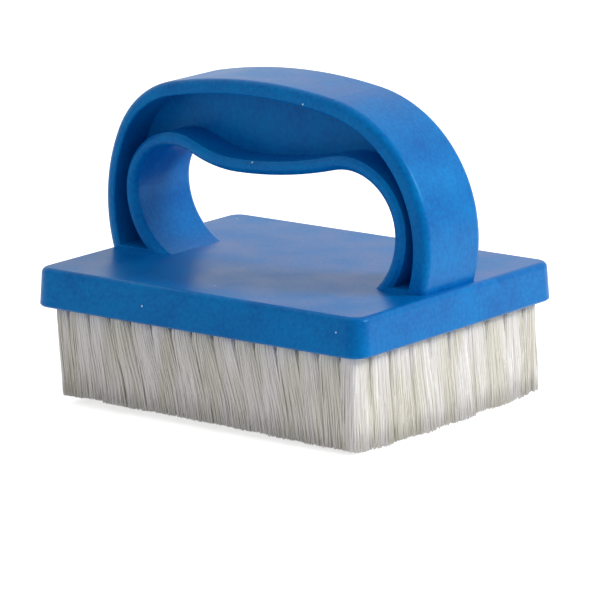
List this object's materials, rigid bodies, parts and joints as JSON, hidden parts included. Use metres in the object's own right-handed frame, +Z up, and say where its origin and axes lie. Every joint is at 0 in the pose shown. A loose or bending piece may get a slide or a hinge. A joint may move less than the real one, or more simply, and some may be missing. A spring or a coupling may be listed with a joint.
{
  "type": "hand grout brush",
  "caption": "Rectangular hand scrubbing brush with a looped grip handle moulded onto a flat block, filled with stiff trimmed bristle tufts.",
  "frame": {"origin": "centre of the object's box in X and Y, at the bristle tips that it stands on", "axes": "+X along the block's long side and the handle, towards the end whose shoulder is the longer slope; +Y across the handle; +Z up from the bristle tips to the handle"},
  "size_m": [0.157, 0.125, 0.1251],
  "materials": {
    "blue_polypropylene": "moulded, satin, with a fine mottled skin",
    "nylon_bristle": "semi-clear white monofilament",
    "anchor_wire": "flat drawn wire"
  },
  "bodies": {
    "root": {"block_and_handle": "blue_polypropylene", "tuft_column_01": "nylon_bristle", "tuft_column_02": "nylon_bristle", "tuft_column_03": "nylon_bristle", "tuft_column_04": "nylon_bristle", "tuft_column_05": "nylon_bristle", "tuft_column_06": "nylon_bristle", "tuft_column_07": "nylon_bristle", "tuft_column_08": "nylon_bristle", "tuft_column_09": "nylon_bristle", "tuft_column_10": "nylon_bristle", "tuft_column_11": "nylon_bristle", "tuft_column_12": "nylon_bristle", "tuft_column_13": "nylon_bristle", "tuft_column_14": "nylon_bristle", "tuft_column_15": "nylon_bristle", "anchor_column_01": "anchor_wire", "anchor_column_02": "anchor_wire", "anchor_column_03": "anchor_wire", "anchor_column_04": "anchor_wire", "anchor_column_05": "anchor_wire", "anchor_column_06": "anchor_wire", "anchor_column_07": "anchor_wire", "anchor_column_08": "anchor_wire", "anchor_column_09": "anchor_wire", "anchor_column_10": "anchor_wire", "anchor_column_11": "anchor_wire", "anchor_column_12": "anchor_wire", "anchor_column_13": "anchor_wire", "anchor_column_14": "anchor_wire", "anchor_column_15": "anchor_wire"}
  },
  "joints": []
}
